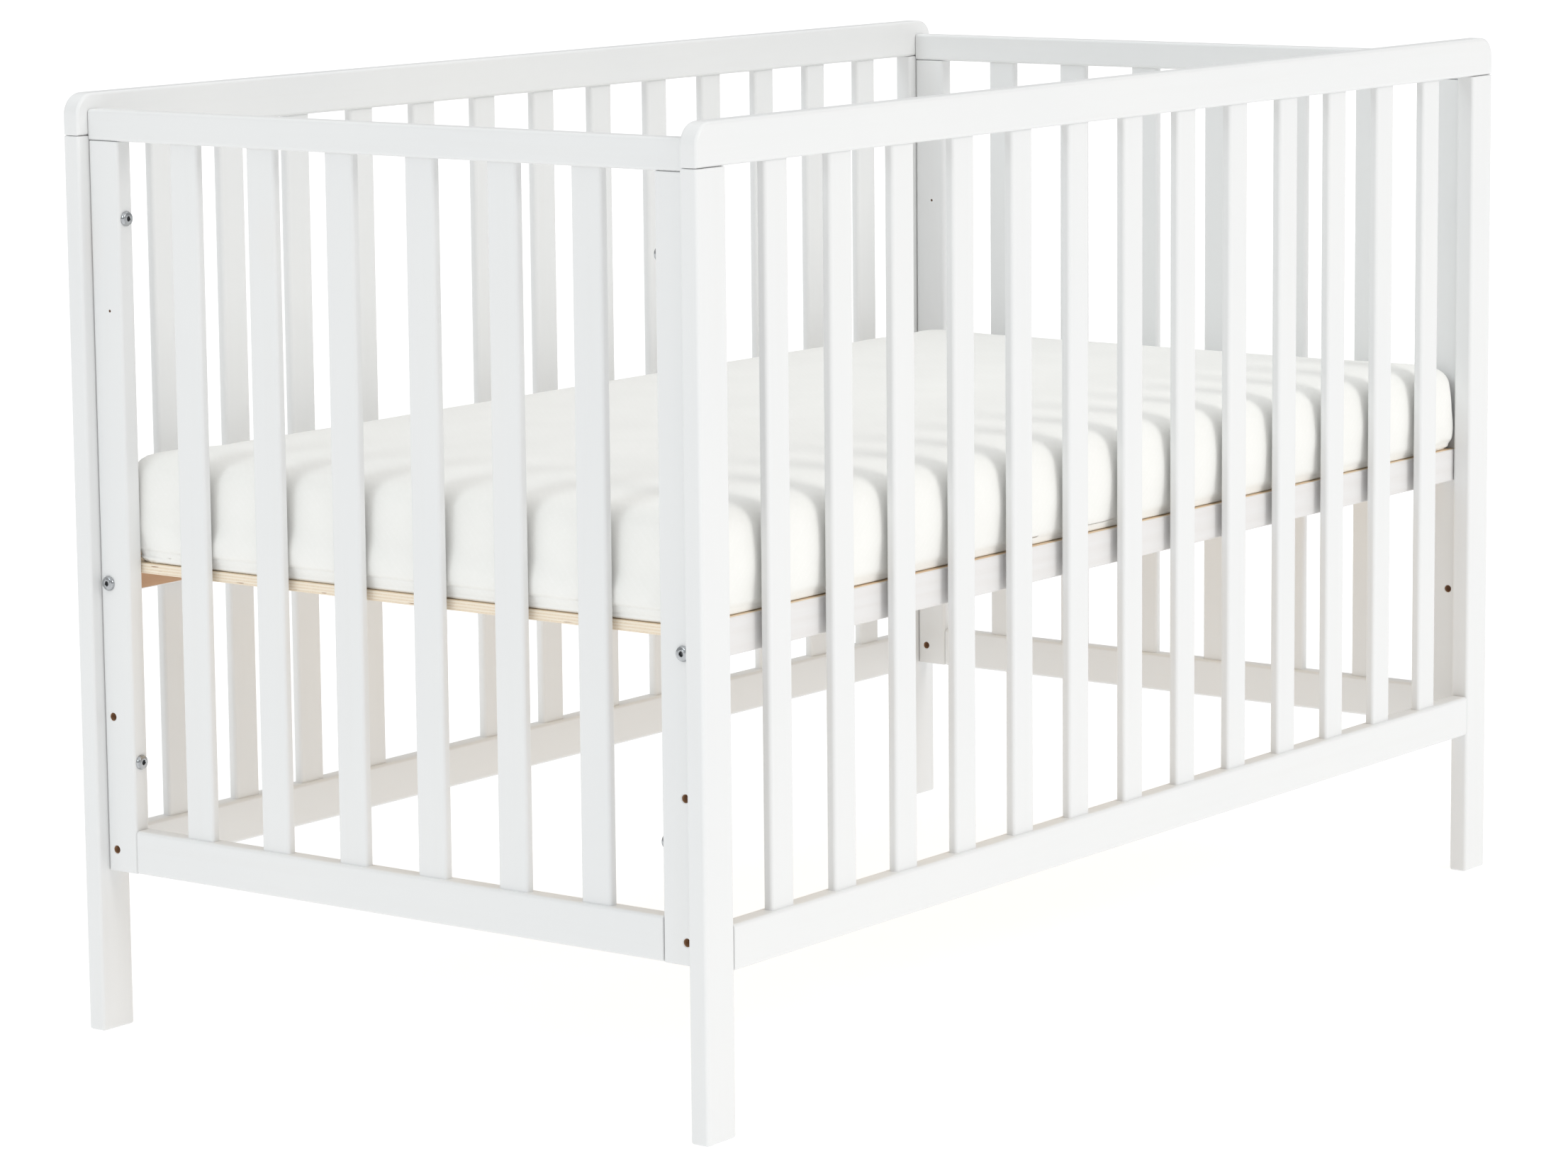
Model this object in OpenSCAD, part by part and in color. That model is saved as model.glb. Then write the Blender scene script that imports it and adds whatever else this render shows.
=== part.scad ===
// Baby crib with slatted sides, a bolted slatted bed base and a loose mattress.
// Millimetres. Origin on the floor at the middle of the footprint: +X runs along
// the length, +Y to the back long side, +Z up.

/* [Overall] */
// Length over the legs
crib_l = 1262; // [1250:1:1280]
// Width over the two long sides
crib_w = 680; // [670:1:700]
// Height of the long sides
crib_h = 816; // [790:1:860]

/* [Long sides] */
// Thickness of legs and rails of a long side
panel_t = 18; // [17:0.5:22]
// Width of a leg along the length
leg_w = 38; // [36:1:46]
// Height of the long top rail
top_rail_h = 36; // [34:1:45]
// Radius of the top rail's two upper ends
top_end_r = 19; // [10:1:25]
// Underside of the long bottom rail above the floor
long_bottom_z = 136.5; // [120:0.5:150]
// Height of every bottom rail
bottom_rail_h = 38; // [34:1:46]
// Number of slats in a long side
long_slats = 13; // [12:1:14]
// Width of a long side's slat
long_slat_w = 31; // [30:1:36]

/* [End panels] */
// Thickness of an end panel
end_t = 17; // [16:0.5:18]
// How far an end panel stands in from the legs' end faces
end_set = 11.5; // [10:0.5:12]
// Width of a stile
stile_w = 34; // [32:1:38]
// Top of the end rail above the floor
end_top_z = 802.5; // [785:0.5:810]
// Height of the end top rail
end_top_h = 26.5; // [24:0.5:30]
// Underside of the end panel above the floor
end_bottom_z = 142; // [130:1:150]
// Number of slats in an end panel
end_slats = 6; // [5:1:6]
// Width of an end panel's slat
end_slat_w = 31; // [28:1:34]

/* [Slats and edges] */
// Thickness of every slat
slat_t = 9; // [8:0.5:12]
// Radius of a slat's long edges
slat_r = 3; // [2:0.5:4]
// Depth that a slat is let into its rail
slat_let = 12; // [8:1:14]
// Radius of the long edges of legs, stiles and rails
edge_r = 3; // [1:0.5:4]

/* [Bed base] */
// Height of the lowest base bolt above the floor
level_z = 161; // [158:1:164]
// Step between the three heights of the base
level_step = 117; // [110:1:120]
// Height of a base rail
base_rail_h = 31; // [30:1:34]
// Thickness of a base rail
base_rail_t = 18; // [18:1:20]
// Thickness of a base board
board_t = 9; // [8:0.5:10]
// Width of a base board
board_w = 75; // [70:1:80]
// Number of base boards
boards = 10; // [9:1:11]

/* [Mattress] */
// Length of the mattress
mat_l = 1203; // [1190:1:1203]
// Width of the mattress
mat_w = 620; // [590:1:622]
// Thickness of the mattress
mat_h = 91; // [80:1:100]
// How far the mattress lies pushed towards the front
mat_push = 10; // [0:0.5:10]
// Radius of its upright corners
mat_r = 14; // [10:1:50]

/* [Fasteners] */
// Radius of a furniture bolt's shank
bolt_r = 3; // [3:0.5:3]
// Radius of a clearance hole for a bolt
hole_r = 3.5; // [3.5:0.1:3.8]
// Radius of a bolt's domed head
head_r = 6.5; // [6:0.5:7]
// Radius of a wooden dowel
dowel_r = 4; // [4:0.5:4]
// Radius of the pilot hole in each back stile
pilot_r = 1.2; // [1:0.1:1.5]

/* [Hidden] */
$fn = 48;

WHITE = [0.95, 0.95, 0.94];
PINE = [0.84, 0.69, 0.48];
STEEL = [0.75, 0.77, 0.78];
CLOTH = [0.93, 0.93, 0.90];

fit = 0.05;                             // clearance round a let-in piece
hx = crib_l / 2;                        // outer end of the legs
hy = crib_w / 2;                        // outer face of the long sides
leg_x = hx - leg_w / 2;                 // middle of a leg
long_y = hy - panel_t / 2;              // middle of a long side
in_y = hy - panel_t;                    // inner face of a long side
leg_top = crib_h - top_rail_h;
long_bottom_top = long_bottom_z + bottom_rail_h;
open_x = hx - leg_w;                    // half the opening between the legs
long_pitch = (2 * open_x + long_slat_w) / (long_slats + 1);

end_out_x = hx - end_set;               // outer face of an end panel
end_in_x = end_out_x - end_t;           // inner face of an end panel
end_x = end_out_x - end_t / 2;
stile_top = end_top_z - end_top_h;
end_bottom_top = end_bottom_z + bottom_rail_h;
stile_y = in_y - stile_w / 2;
open_y = in_y - stile_w;                // half the opening between the stiles
end_pitch = (2 * open_y + end_slat_w) / (end_slats + 1);

levels = [level_z, level_z + level_step, level_z + 2 * level_step];
base_bolt_z = levels[2];
ledge_h = base_rail_h - board_t - 5;    // solid part of a base rail under its boards
base_z = base_bolt_z - ledge_h / 2;     // underside of a base rail
ledge_z = base_z + ledge_h;
base_y = in_y - 1 - base_rail_t / 2;    // middle of a base rail
lip = base_rail_t / 2;                  // thickness of the rail's upper lip
base_l = 2 * end_in_x - 1;
board_y = base_y - 0.5;                 // half a board's length
board_top = ledge_z + board_t;
board_pitch = (base_l - board_w) / (boards - 1);
barrel_x = base_l / 2 - 45;             // the base bolts' cross nuts, let in from below
screw_y = base_y - base_rail_t / 2 + 3.3;

bolt_zs = [239.5, 710];                 // corner bolts
insert_l = 12;
pilot_y = 302;
pilot_z = 631;
mat_z = board_top + 0.3;

// Rectangle with round corners, centred
module rrect(w, h, r) {
  square([w - 2 * r, h], center = true);
  square([w, h - 2 * r], center = true);
  for (sx = [-1, 1], sy = [-1, 1])
    translate([sx * (w / 2 - r), sy * (h / 2 - r)]) circle(r);
}

// Bar along X, Y or Z with round long edges, centred in section
module bar_x(l, w_y, h_z, r) { rotate([90, 0, 90]) translate([0, 0, -l / 2]) linear_extrude(l) rrect(w_y, h_z, r); }
module bar_y(l, w_x, h_z, r) { rotate([90, 0, 0]) translate([0, 0, -l / 2]) linear_extrude(l) rrect(w_x, h_z, r); }
module bar_z(l, w_x, w_y, r) { linear_extrude(l) rrect(w_x, w_y, r); }

// Rod along X, Y or Z, starting at the origin; a negative length runs the other way
module rod_x(l, r) { rotate([0, l < 0 ? -90 : 90, 0]) cylinder(h = abs(l), r = r); }
module rod_y(l, r) { rotate([l < 0 ? 90 : -90, 0, 0]) cylinder(h = abs(l), r = r); }
module rod_z(l, r) { translate([0, 0, l < 0 ? l : 0]) cylinder(h = abs(l), r = r); }

function slat_xs() = [for (i = [0 : long_slats - 1]) (i - (long_slats - 1) / 2) * long_pitch];
function slat_ys() = [for (i = [0 : end_slats - 1]) (i - (end_slats - 1) / 2) * end_pitch];
function board_xs() = [for (i = [0 : boards - 1]) (i - (boards - 1) / 2) * board_pitch];

// ---- long sides: s is -1 for the front, 1 for the back ----

module long_slat_set(s, grow = 0) {
  for (x = slat_xs())
    translate([x, s * long_y, long_bottom_top - slat_let])
      bar_z(leg_top - long_bottom_top + 2 * slat_let, long_slat_w + 2 * grow, slat_t + 2 * grow, slat_r);
}

// Dowels of one long side: two upright in each leg's top, two level in each rail end
module long_dowels(s, r) {
  for (e = [-1, 1]) {
    for (k = [-10, 10]) translate([e * leg_x + k, s * long_y, leg_top - 20]) rod_z(36, r);
    for (k = [-9, 9]) translate([e * (open_x - 20), s * long_y, long_bottom_z + bottom_rail_h / 2 + k]) rod_x(e * 40, r);
  }
}

module long_top_rail(s) {
  color(WHITE) difference() {
    intersection() {
      translate([0, s * long_y, crib_h - top_rail_h / 2]) bar_x(crib_l, panel_t, top_rail_h, edge_r);
      translate([0, s * long_y + panel_t, 0]) rotate([90, 0, 0]) linear_extrude(2 * panel_t) union() {
        translate([-hx, leg_top - 1]) square([crib_l, top_rail_h + 1 - top_end_r]);
        translate([-hx + top_end_r, leg_top]) square([crib_l - 2 * top_end_r, top_rail_h]);
        for (e = [-1, 1]) translate([e * (hx - top_end_r), crib_h - top_end_r]) circle(top_end_r);
      }
    }
    long_slat_set(s, fit);
    long_dowels(s, dowel_r + fit);
  }
}

module long_bottom_rail(s) {
  color(WHITE) difference() {
    translate([0, s * long_y, long_bottom_z + bottom_rail_h / 2]) bar_x(2 * open_x, panel_t, bottom_rail_h, edge_r);
    long_slat_set(s, fit);
    long_dowels(s, dowel_r + fit);
  }
}

module leg(s, e) {
  color(WHITE) difference() {
    translate([e * leg_x, s * long_y, 0]) bar_z(leg_top, leg_w, panel_t, edge_r);
    long_dowels(s, dowel_r + fit);
    for (z = bolt_zs) translate([e * end_x, s * (in_y - 1), z]) rod_y(s * (insert_l + 2), 4.5 + fit);
  }
}

module long_slat_row(s) { color(WHITE) long_slat_set(s); }

// ---- end panels: e is -1 for the left, 1 for the right ----

module end_slat_set(e, grow = 0) {
  for (y = slat_ys())
    translate([e * end_x, y, end_bottom_top - slat_let])
      bar_z(stile_top - end_bottom_top + 2 * slat_let, slat_t + 2 * grow, end_slat_w + 2 * grow, slat_r);
}

module end_dowels(e, r) {
  for (s = [-1, 1]) {
    for (k = [-8, 8]) translate([e * end_x, s * stile_y + k, stile_top - 20]) rod_z(34, r);
    for (k = [-9, 9]) translate([e * end_x, s * (open_y - 20), end_bottom_z + bottom_rail_h / 2 + k]) rod_y(s * 40, r);
  }
}

module end_top_rail(e) {
  color(WHITE) difference() {
    translate([e * end_x, 0, end_top_z - end_top_h / 2]) bar_y(2 * in_y, end_t, end_top_h, edge_r);
    end_slat_set(e, fit);
    end_dowels(e, dowel_r + fit);
  }
}

module end_bottom_rail(e) {
  color(WHITE) difference() {
    translate([e * end_x, 0, end_bottom_z + bottom_rail_h / 2]) bar_y(2 * open_y, end_t, bottom_rail_h, edge_r);
    end_slat_set(e, fit);
    end_dowels(e, dowel_r + fit);
  }
}

module stile(s, e) {
  color(WHITE) difference() {
    translate([e * end_x, s * stile_y, end_bottom_z]) bar_z(stile_top - end_bottom_z, end_t, stile_w, edge_r);
    end_dowels(e, dowel_r + fit);
    for (z = levels) translate([e * (end_in_x - 1), s * base_y, z]) rod_x(e * (end_t + 2), hole_r);
    for (z = bolt_zs) translate([e * end_x, s * (open_y - 1), z]) rod_y(s * (stile_w + 2), hole_r);
    if (s > 0) translate([e * (end_in_x - 1), pilot_y, pilot_z]) rod_x(e * (end_t + 2), pilot_r);
  }
}

module end_slat_row(e) { color(WHITE) end_slat_set(e); }

// ---- fasteners ----

// Bolt with a domed head and a hexagonal socket. The shank runs up +Z from the seat.
module dome_bolt(l) {
  difference() {
    union() {
      rotate_extrude() polygon([[0, 1], [0, -3.4], [3.5, -3.4], [5.2, -2.6], [6.1, -1.4], [head_r, -0.5], [head_r, 0], [bolt_r, 0], [bolt_r, 1]]);
      translate([0, 0, 0.5]) cylinder(h = l - 0.5, r = bolt_r);
    }
    translate([0, 0, -4]) cylinder(h = 2.7, r = 2.3, $fn = 6);
  }
}

module corner_bolts() {
  color(STEEL) for (s = [-1, 1], e = [-1, 1], z = bolt_zs)
    translate([e * end_x, s * open_y, z]) rotate([s > 0 ? -90 : 90, 0, 0]) dome_bolt(stile_w + insert_l - 0.5);
}

module corner_insert_nuts() {
  color(STEEL) for (s = [-1, 1], e = [-1, 1], z = bolt_zs)
    translate([e * end_x, s * (in_y + 0.2), z]) difference() {
      rod_y(s * insert_l, 4.5);
      translate([0, -s, 0]) rod_y(s * (insert_l + 2), bolt_r + fit);
    }
}

module base_bolts() {
  color(STEEL) for (s = [-1, 1], e = [-1, 1])
    translate([e * end_out_x, s * base_y, base_bolt_z]) rotate([0, e > 0 ? -90 : 90, 0]) dome_bolt(end_out_x - barrel_x + 7);
}

module base_barrel_nuts() {
  color(STEEL) for (s = [-1, 1], e = [-1, 1])
    difference() {
      translate([e * barrel_x, s * base_y, base_z + 0.5]) rod_z(14, 5);
      translate([e * (barrel_x - 10), s * base_y, base_bolt_z]) rod_x(e * 20, bolt_r + fit);
    }
}

module long_side_dowels() { color(PINE) for (s = [-1, 1]) long_dowels(s, dowel_r); }
module end_panel_dowels() { color(PINE) for (e = [-1, 1]) end_dowels(e, dowel_r); }

// ---- bed base ----

module base_rail(s) {
  color(WHITE) difference() {
    translate([0, s * base_y, base_z + base_rail_h / 2]) bar_x(base_l, base_rail_t, base_rail_h, 1.5);
    // rebate for the boards, open to the inside
    translate([0, s * (base_y - base_rail_t / 4 - 1), ledge_z + base_rail_h / 2]) cube([base_l + 2, base_rail_t / 2 + 2, base_rail_h], center = true);
    for (e = [-1, 1]) {
      translate([e * (barrel_x - 9), s * base_y, base_bolt_z]) rod_x(e * 60, hole_r);
      translate([e * barrel_x, s * base_y, base_z - 1]) rod_z(15.6, 5 + fit);
    }
    for (x = board_xs()) translate([x, s * screw_y, ledge_z + 1]) rod_z(-12.2, 1.75 + fit);
  }
}

module base_boards() {
  color(PINE) for (x = board_xs()) difference() {
    translate([x, 0, ledge_z]) linear_extrude(board_t) rrect(board_w, 2 * board_y, 2);
    for (s = [-1, 1]) {
      translate([x, s * screw_y, ledge_z - 1]) cylinder(h = board_t + 2, r = 1.75 + fit);
      translate([x, s * screw_y, board_top - 2]) cylinder(h = 3, r1 = 1.75 + fit, r2 = 4.2);
    }
  }
}

module base_board_screws() {
  color(STEEL) for (x = board_xs(), s = [-1, 1])
    translate([x, s * screw_y, board_top - 0.3]) rotate_extrude()
      polygon([[0, 0], [3, 0], [1.7, -1.6], [1.7, -17], [0, -19]]);
}

// ---- mattress ----

// The mattress's outline, moved in by g: full width above the base rails' lips,
// and between the lips below that
module mattress_form(g) {
  z1 = base_z + base_rail_h + 0.8;
  y0 = max(-mat_w / 2 - mat_push, -(base_y + 9 - lip) + 0.6);
  y1 = min(mat_w / 2 - mat_push, base_y + 9 - lip - 0.6);
  translate([0, -mat_push, z1 + g]) linear_extrude(mat_z + mat_h - z1 - 2 * g) rrect(mat_l - 2 * g, mat_w - 2 * g, mat_r - g);
  translate([0, (y0 + y1) / 2, mat_z + g]) linear_extrude(z1 - mat_z + 2) rrect(mat_l - 2 * g, y1 - y0 - 2 * g, mat_r - g);
}

module mattress_cover() {
  color(CLOTH) difference() {
    mattress_form(0);
    mattress_form(3);
  }
}

module mattress_core() { color([0.96, 0.94, 0.86]) mattress_form(3.2); }

long_top_rail(-1);  // front_top_rail
long_bottom_rail(-1);  // front_bottom_rail
leg(-1, -1);  // front_left_leg
leg(-1, 1);  // front_right_leg
long_slat_row(-1);  // front_slats
long_top_rail(1);  // back_top_rail
long_bottom_rail(1);  // back_bottom_rail
leg(1, -1);  // back_left_leg
leg(1, 1);  // back_right_leg
long_slat_row(1);  // back_slats
end_top_rail(-1);  // left_top_rail
end_bottom_rail(-1);  // left_bottom_rail
stile(-1, -1);  // left_front_stile
stile(1, -1);  // left_back_stile
end_slat_row(-1);  // left_slats
end_top_rail(1);  // right_top_rail
end_bottom_rail(1);  // right_bottom_rail
stile(-1, 1);  // right_front_stile
stile(1, 1);  // right_back_stile
end_slat_row(1);  // right_slats
long_side_dowels();
end_panel_dowels();
corner_bolts();
corner_insert_nuts();
base_rail(-1);  // base_front_rail
base_rail(1);  // base_back_rail
base_boards();
base_board_screws();
base_bolts();
base_barrel_nuts();
mattress_core();
mattress_cover();
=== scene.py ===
import math

import bmesh
import bpy
import numpy as np
from mathutils import Euler, Matrix, Vector, noise


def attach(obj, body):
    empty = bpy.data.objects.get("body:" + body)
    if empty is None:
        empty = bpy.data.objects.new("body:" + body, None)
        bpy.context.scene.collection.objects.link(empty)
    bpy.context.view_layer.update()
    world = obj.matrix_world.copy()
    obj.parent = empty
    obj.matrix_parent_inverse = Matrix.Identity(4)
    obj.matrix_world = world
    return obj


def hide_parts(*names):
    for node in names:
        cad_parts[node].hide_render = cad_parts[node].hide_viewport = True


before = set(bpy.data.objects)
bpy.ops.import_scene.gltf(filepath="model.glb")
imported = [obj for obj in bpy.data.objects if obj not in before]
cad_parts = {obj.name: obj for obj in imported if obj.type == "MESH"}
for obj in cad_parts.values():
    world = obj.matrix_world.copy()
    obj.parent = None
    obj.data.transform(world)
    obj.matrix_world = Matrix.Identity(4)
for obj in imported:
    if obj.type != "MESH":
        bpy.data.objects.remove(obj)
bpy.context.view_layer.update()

MM = 0.001
scene = bpy.context.scene

# ------------------------------------------------------------------ sizes (mm)
L, W, H = 1262.0, 680.0, 816.0
HX, HY = L / 2, W / 2
PT = 18.0            # thickness of a long side
LEG_W = 38.0
RAIL_H = 36.0
LEG_TOP = H - RAIL_H
LB0, LB1 = 136.5, 174.5
LONG_Y = HY - PT / 2
IN_Y = HY - PT
OPEN_X = HX - LEG_W
END_OUT = HX - 11.5
END_T = 17.0
END_IN = END_OUT - END_T
END_X = END_OUT - END_T / 2
END_TOP, END_TOP_H = 802.5, 26.5
STILE_TOP = END_TOP - END_TOP_H
EB0, EB1 = 142.0, 180.0
STILE_W = 34.0
STILE_Y = IN_Y - STILE_W / 2
OPEN_Y = IN_Y - STILE_W
LONG_PITCH = (2 * OPEN_X + 31.0) / 14
END_PITCH = (2 * OPEN_Y + 31.0) / 7
LEVELS = (161.0, 278.0, 395.0)
BOLT_Z = (239.5, 710.0)
BASE_Y = IN_Y - 1 - 9
BASE_Z, LEDGE_Z, RAIL_Z = 386.5, 403.5, 417.5
BOARD_TOP = LEDGE_Z + 9
BASE_L = 2 * END_IN - 1
BOARD_Y = BASE_Y - 0.5
BOARD_XS = [(i - 4.5) * (BASE_L - 75) / 9 for i in range(10)]
BARREL_X = BASE_L / 2 - 45
SCREW_Y = BASE_Y - 9 + 3.3
MAT_Z, MAT_H = BOARD_TOP + 0.3, 91.0
MAT_X, MAT_Y, MAT_C = 601.5, 310.0, -10.0


# ------------------------------------------------------------------ mesh tools
def ring(corners, inset, segs):
    """Points of a closed outline, moved in by inset, with its corners rounded. corners: (u, v, radius), anticlockwise."""
    out = []
    n = len(corners)
    for i, (u, v, r) in enumerate(corners):
        a, p, b = Vector(corners[i - 1][:2]), Vector((u, v)), Vector(corners[(i + 1) % n][:2])
        d1, d2 = (p - a).normalized(), (b - p).normalized()
        n1, n2 = Vector((-d1.y, d1.x)), Vector((-d2.y, d2.x))
        mid = (n1 + n2) / (1 + n1.dot(n2))
        q = p + mid * inset
        convex = d1.x * d2.y - d1.y * d2.x > 0
        rr = max(r - inset if convex else r + inset, 0.04)
        c = q + mid * rr if convex else q - mid * rr
        s, e = (-n1, -n2) if convex else (n1, n2)
        a0 = math.atan2(s.y, s.x)
        turn = math.atan2(s.x * e.y - s.y * e.x, s.dot(e))
        k = segs if isinstance(segs, int) else segs[i]
        for j in range(k + 1):
            t = a0 + turn * j / k
            out.append((c.x + rr * math.cos(t), c.y + rr * math.sin(t)))
    return out


def place(axis, u, v, w):
    return {"X": (w, u, v), "Y": (u, w, v), "Z": (u, v, w)}[axis]


def prism(bm, corners, axis, a, b, ease, segs=5, steps=3, ease_b=None):
    """A bar from a to b along an axis, with rounded long edges and eased ends. All in mm."""
    rows = []
    eb = ease if ease_b is None else ease_b
    for k in range(steps + 1):
        t = math.pi / 2 * k / steps
        rows.append((a + ease * (1 - math.cos(t)), ease * (1 - math.sin(t))))
    for k in range(steps, -1, -1):
        t = math.pi / 2 * k / steps
        rows.append((b - eb * (1 - math.cos(t)), eb * (1 - math.sin(t))))
    rings = []
    for w, inset in rows:
        rings.append([bm.verts.new(Vector(place(axis, u, v, w)) * MM) for u, v in ring(corners, inset, segs)])
    n = len(rings[0])
    for r0, r1 in zip(rings, rings[1:]):
        for i in range(n):
            bm.faces.new((r0[i], r0[(i + 1) % n], r1[(i + 1) % n], r1[i]))
    bm.faces.new(rings[0])
    bm.faces.new(list(reversed(rings[-1])))


def rect(cu, cv, wu, wv, r):
    return [(cu - wu / 2, cv - wv / 2, r), (cu + wu / 2, cv - wv / 2, r),
            (cu + wu / 2, cv + wv / 2, r), (cu - wu / 2, cv + wv / 2, r)]


def lathe(bm, profile, n=40):
    """Turns (radius, height) points round Z. Both ends may be at radius 0."""
    rows = []
    for r, z in profile:
        if r < 1e-6:
            rows.append([bm.verts.new((0, 0, z * MM))])
        else:
            rows.append([bm.verts.new((r * MM * math.cos(2 * math.pi * i / n), r * MM * math.sin(2 * math.pi * i / n), z * MM)) for i in range(n)])
    for r0, r1 in zip(rows, rows[1:]):
        for i in range(n):
            j = (i + 1) % n
            if len(r0) == 1:
                bm.faces.new((r0[0], r1[i], r1[j]))
            elif len(r1) == 1:
                bm.faces.new((r0[i], r0[j], r1[0]))
            else:
                bm.faces.new((r0[i], r0[j], r1[j], r1[i]))
    return bm


def to_object(bm, name, mats):
    bmesh.ops.remove_doubles(bm, verts=bm.verts, dist=1e-7)
    bmesh.ops.recalc_face_normals(bm, faces=bm.faces)
    me = bpy.data.meshes.new(name)
    bm.to_mesh(me)
    bm.free()
    ob = bpy.data.objects.new(name, me)
    scene.collection.objects.link(ob)
    for m in mats:
        me.materials.append(m)
    return ob


def cut(ob, cutters):
    """Cuts the cutters out of the object and keeps the result as its mesh."""
    for c in cutters:
        mod = ob.modifiers.new("cut", "BOOLEAN")
        mod.operation, mod.solver, mod.object = "DIFFERENCE", "EXACT", c
    bpy.context.view_layer.update()
    dg = bpy.context.evaluated_depsgraph_get()
    me = bpy.data.meshes.new_from_object(ob.evaluated_get(dg))
    old = ob.data
    ob.modifiers.clear()
    ob.data = me
    me.name = old.name + "_cut"
    bpy.data.meshes.remove(old)
    for c in cutters:
        m = c.data
        bpy.data.objects.remove(c)
        bpy.data.meshes.remove(m)
    return ob


def smooth(ob, angle=38, weighted=True):
    me = ob.data
    me.shade_smooth()
    me.set_sharp_from_angle(angle=math.radians(angle))
    if weighted:
        mod = ob.modifiers.new("weighted", "WEIGHTED_NORMAL")
        mod.keep_sharp, mod.weight = True, 60


def turned_cutter(profile, matrix, n=32):
    bm = lathe(bmesh.new(), profile, n)
    bmesh.ops.transform(bm, matrix=matrix, verts=bm.verts)
    return to_object(bm, "cutter", [])


def along(axis, sign, p):
    """Matrix that turns +Z to the signed axis and moves to p (mm)."""
    rot = {"X": Matrix.Rotation(math.pi / 2 * sign, 4, "Y"),
           "Y": Matrix.Rotation(-math.pi / 2 * sign, 4, "X"),
           "Z": Matrix.Identity(4) if sign > 0 else Matrix.Rotation(math.pi, 4, "X")}[axis]
    return Matrix.Translation(Vector(p) * MM) @ rot


def copies(ob, name, matrices, mats):
    """Joins one mesh, repeated at every matrix, into one new object."""
    bm = bmesh.new()
    for m in matrices:
        part = bmesh.new()
        part.from_mesh(ob.data)
        bmesh.ops.transform(part, matrix=m, verts=part.verts)
        tmp = bpy.data.meshes.new("tmp")
        part.to_mesh(tmp)
        part.free()
        bm.from_mesh(tmp)
        bpy.data.meshes.remove(tmp)
    me = bpy.data.meshes.new(name)
    bm.to_mesh(me)
    bm.free()
    new = bpy.data.objects.new(name, me)
    scene.collection.objects.link(new)
    for m in mats:
        me.materials.append(m)
    old = ob.data
    bpy.data.objects.remove(ob)
    bpy.data.meshes.remove(old)
    return new


# ------------------------------------------------------------------ materials
class Nodes:
    def __init__(self, name):
        self.mat = bpy.data.materials.new(name)
        self.mat.use_nodes = True
        self.nt = self.mat.node_tree
        self.bsdf = self.nt.nodes["Principled BSDF"]
        self.coord = self.nt.nodes.new("ShaderNodeTexCoord")

    def link(self, a, b):
        self.nt.links.new(a, b)

    def node(self, kind, **kw):
        n = self.nt.nodes.new(kind)
        for k, v in kw.items():
            setattr(n, k, v)
        return n

    def mapped(self, scale=(1, 1, 1), loc=(0, 0, 0), rot=(0, 0, 0), source=None):
        m = self.node("ShaderNodeMapping")
        m.inputs["Scale"].default_value = scale
        m.inputs["Location"].default_value = loc
        m.inputs["Rotation"].default_value = rot
        self.link(source or self.coord.outputs["Object"], m.inputs["Vector"])
        return m.outputs["Vector"]

    def noise(self, vec, scale, detail=3, rough=0.5, distort=0.0):
        n = self.node("ShaderNodeTexNoise")
        n.inputs["Scale"].default_value = scale
        n.inputs["Detail"].default_value = detail
        n.inputs["Roughness"].default_value = rough
        n.inputs["Distortion"].default_value = distort
        self.link(vec, n.inputs["Vector"])
        return n.outputs["Fac"]

    def ramp(self, fac, stops):
        r = self.node("ShaderNodeValToRGB")
        el = r.color_ramp.elements
        while len(el) < len(stops):
            el.new(0.5)
        for e, (p, c) in zip(el, stops):
            e.position = p
            e.color = (*c, 1) if len(c) == 3 else c
        self.link(fac, r.inputs["Fac"])
        return r.outputs["Color"]

    def level(self, fac, a, b, lo=0.0, hi=1.0):
        m = self.node("ShaderNodeMapRange")
        m.clamp = True
        for k, v in (("From Min", a), ("From Max", b), ("To Min", lo), ("To Max", hi)):
            m.inputs[k].default_value = v
        self.link(fac, m.inputs["Value"])
        return m.outputs["Result"]

    def math(self, op, a, b=None):
        m = self.node("ShaderNodeMath", operation=op)
        for i, v in enumerate((a, b)):
            if v is None:
                continue
            if isinstance(v, (int, float)):
                m.inputs[i].default_value = v
            else:
                self.link(v, m.inputs[i])
        return m.outputs[0]

    def mix(self, fac, a, b, blend="MIX"):
        m = self.node("ShaderNodeMix", data_type="RGBA", blend_type=blend)
        for s, v in ((0, fac), (6, a), (7, b)):
            if isinstance(v, (int, float)):
                m.inputs[s].default_value = v
            elif isinstance(v, tuple):
                m.inputs[s].default_value = (*v, 1)
            else:
                self.link(v, m.inputs[s])
        return m.outputs[2]

    def bump(self, height, distance, strength=1.0, normal=None):
        b = self.node("ShaderNodeBump")
        b.inputs["Strength"].default_value = strength
        b.inputs["Distance"].default_value = distance
        self.link(height, b.inputs["Height"])
        if normal:
            self.link(normal, b.inputs["Normal"])
        return b.outputs["Normal"]

    def set(self, **kw):
        names = {"color": "Base Color", "rough": "Roughness", "metal": "Metallic", "spec": "Specular IOR Level",
                 "sheen": "Sheen Weight", "sheen_rough": "Sheen Roughness", "coat": "Coat Weight", "coat_rough": "Coat Roughness",
                 "normal": "Normal", "sss": "Subsurface Weight", "sss_scale": "Subsurface Scale"}
        for k, v in kw.items():
            s = self.bsdf.inputs[names[k]]
            if isinstance(v, bpy.types.NodeSocket):
                self.link(v, s)
            elif isinstance(v, tuple):
                s.default_value = (*v, 1)
            else:
                s.default_value = v
        return self.mat


def grain_scale(axis, long, across):
    return {"X": (long, across, across), "Y": (across, long, across), "Z": (across, across, long)}[axis]


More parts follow.
